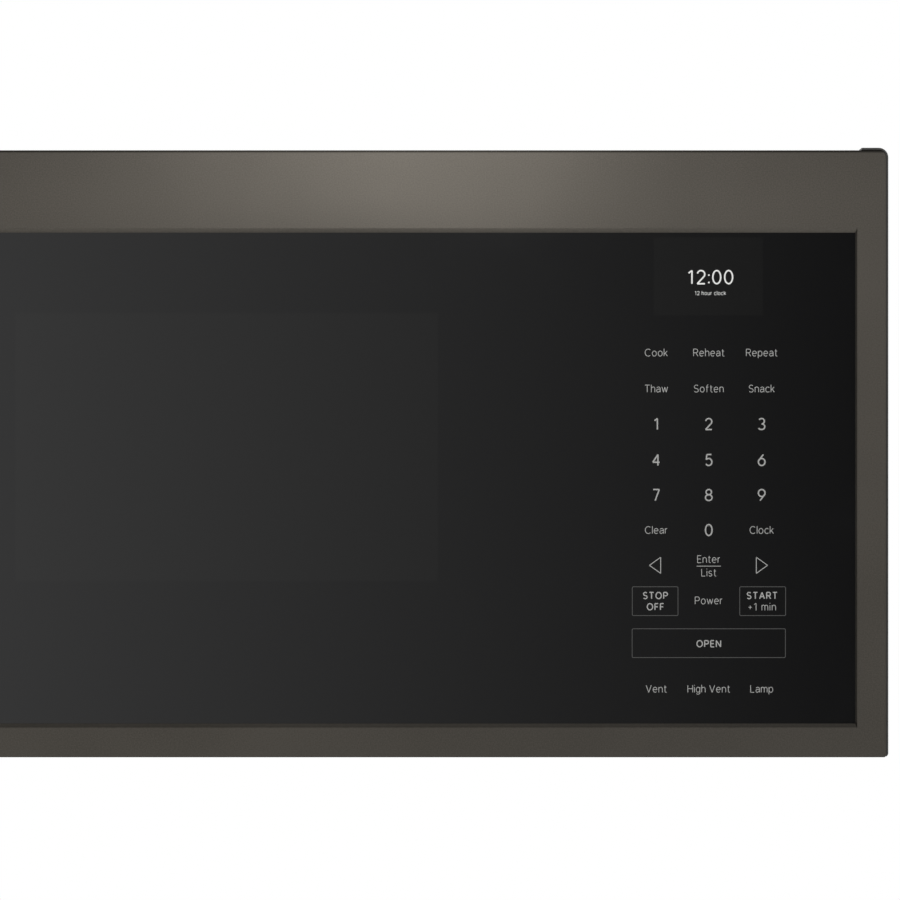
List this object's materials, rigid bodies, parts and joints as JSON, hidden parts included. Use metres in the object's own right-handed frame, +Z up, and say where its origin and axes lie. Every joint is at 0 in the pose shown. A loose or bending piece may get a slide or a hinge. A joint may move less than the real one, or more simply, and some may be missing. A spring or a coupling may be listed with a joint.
{
  "type": "over-the-range microwave oven",
  "caption": "Over-the-range microwave oven with a full-width handleless glass door, touch controls, turntable, vent blower, grease filters and cooktop lamps, hung on a wall plate.",
  "frame": {"origin": "middle of the wall plate's rear face, on the wall, level with the middle of the door's height", "axes": "+X to the right as the cook sees it, +Y back into the wall, +Z up"},
  "size_m": [0.759, 0.4, 0.4349],
  "materials": {
    "black_stainless": "dark tinted brushed finish",
    "dark_trim": "satin",
    "black_glass": "black tinted, polished",
    "clear_glass": "clear, polished",
    "frosted_lens": "frosted, ribbed",
    "dark_plastic": "fine texture",
    "case_paint": "satin dark grey powder coat",
    "cavity_enamel": "speckled grey enamel",
    "zinc_steel": "galvanised sheet",
    "aluminium": "bare",
    "white_plastic": "moulded",
    "circuit_board": "green solder mask",
    "copper": "varnished copper wire",
    "laminations": "varnished steel sheet",
    "carbon": "granular charcoal pad",
    "mica": "mica sheet"
  },
  "bodies": {
    "case": {"outer_case": "case_paint", "base_plate": "case_paint", "front_plate": "case_paint", "duct_cover": "case_paint", "back_panel": "zinc_steel", "wall_plate": "zinc_steel", "hinge_bracket_upper": "zinc_steel", "hinge_bracket_lower": "zinc_steel", "waveguide": "zinc_steel", "turntable_motor": "zinc_steel", "blower_housing": "zinc_steel", "vent_grille": "dark_plastic", "cord_gland": "dark_plastic", "cooling_fan_shroud": "dark_plastic", "interlock_switch_upper": "dark_plastic", "interlock_switch_lower": "dark_plastic", "opener_actuator": "dark_plastic", "charcoal_filter": "carbon", "magnetron": "aluminium", "capacitor": "aluminium", "cooktop_lens_left": "frosted_lens", "cooktop_lens_right": "frosted_lens", "cooktop_lamp_left": "white_plastic", "cooktop_lamp_right": "white_plastic", "cavity_lamp": "white_plastic", "latch_housing": "white_plastic", "oven_cavity": "cavity_enamel", "waveguide_cover": "mica", "blower_motor": "laminations", "transformer_core": "laminations", "cooling_fan_motor": "laminations", "primary_winding": "copper", "secondary_winding": "copper", "power_board": "circuit_board"},
    "door": {"door_skin": "black_stainless", "door_trim_left": "dark_trim", "door_trim_right": "dark_trim", "door_glass": "black_glass", "door_carrier": "dark_plastic", "choke_pan": "zinc_steel", "choke_cover": "dark_plastic", "door_screen": "zinc_steel", "inner_window": "clear_glass", "latch_guide": "white_plastic", "control_board": "circuit_board", "latch_spring": "zinc_steel"},
    "latch": {"latch_slider": "white_plastic"},
    "opener": {"opener_lifter": "zinc_steel"},
    "turntable": {"glass_tray": "clear_glass", "drive_coupler": "white_plastic"},
    "roller_ring": {"roller_ring": "white_plastic"},
    "roller_1": {"roller_wheel_1": "white_plastic"},
    "roller_2": {"roller_wheel_2": "white_plastic"},
    "roller_3": {"roller_wheel_3": "white_plastic"},
    "blower": {"blower_wheel_left": "zinc_steel", "blower_wheel_right": "zinc_steel", "blower_shaft": "zinc_steel"},
    "cooling_fan": {"cooling_fan_blade": "white_plastic"},
    "filter_left": {"grease_filter_left": "aluminium"},
    "filter_right": {"grease_filter_right": "aluminium"}
  },
  "joints": [
    {"name": "door_hinge", "type": "hinge", "parent": "case", "child": "door", "pos_m": [-0.3672, -0.3665, 0], "axis": [0, 0, -1], "range_deg": [0, 100]},
    {"name": "latch_slide", "type": "slide", "parent": "door", "child": "latch", "axis": [0, 0, 1], "range_m": [0, 0.005], "stiffness_N_per_m": 400, "springref_m": -0.004, "deforming": ["latch_spring"]},
    {"name": "opener_lift", "type": "slide", "parent": "case", "child": "opener", "axis": [0, 0, 1], "range_m": [0, 0.005]},
    {"name": "turntable_spin", "type": "hinge", "parent": "case", "child": "turntable", "pos_m": [-0.093, -0.2075, 0], "axis": [0, 0, 1], "continuous": true},
    {"name": "roller_ring_spin", "type": "hinge", "parent": "case", "child": "roller_ring", "pos_m": [-0.093, -0.2075, 0], "axis": [0, 0, 1], "continuous": true},
    {"name": "roller_1_spin", "type": "hinge", "parent": "roller_ring", "child": "roller_1", "pos_m": [-0.093, -0.1095, -0.10035], "axis": [0, 1, 0], "continuous": true},
    {"name": "roller_2_spin", "type": "hinge", "parent": "roller_ring", "child": "roller_2", "pos_m": [-0.17787, -0.2565, -0.10035], "axis": [-0.866, -0.5, 0], "continuous": true},
    {"name": "roller_3_spin", "type": "hinge", "parent": "roller_ring", "child": "roller_3", "pos_m": [-0.00813, -0.2565, -0.10035], "axis": [0.866, -0.5, 0], "continuous": true},
    {"name": "blower_spin", "type": "hinge", "parent": "case", "child": "blower", "pos_m": [0, -0.075, 0.16645], "axis": [1, 0, 0], "continuous": true},
    {"name": "cooling_fan_spin", "type": "hinge", "parent": "case", "child": "cooling_fan", "pos_m": [0.285, -0.07, 0.05145], "axis": [0, 1, 0], "continuous": true},
    {"name": "grease_filter_left_slide", "type": "slide", "parent": "case", "child": "filter_left", "axis": [0, 0, -1], "range_m": [0, 0.06]},
    {"name": "grease_filter_right_slide", "type": "slide", "parent": "case", "child": "filter_right", "axis": [0, 0, -1], "range_m": [0, 0.06]}
  ],
  "couplings": [
    {"joint": "opener_lift", "follows": "latch_slide", "ratio": 1},
    {"joint": "roller_ring_spin", "follows": "turntable_spin", "ratio": 0.5},
    {"joint": "roller_1_spin", "follows": "turntable_spin", "ratio": -7},
    {"joint": "roller_2_spin", "follows": "turntable_spin", "ratio": -7},
    {"joint": "roller_3_spin", "follows": "turntable_spin", "ratio": -7}
  ]
}
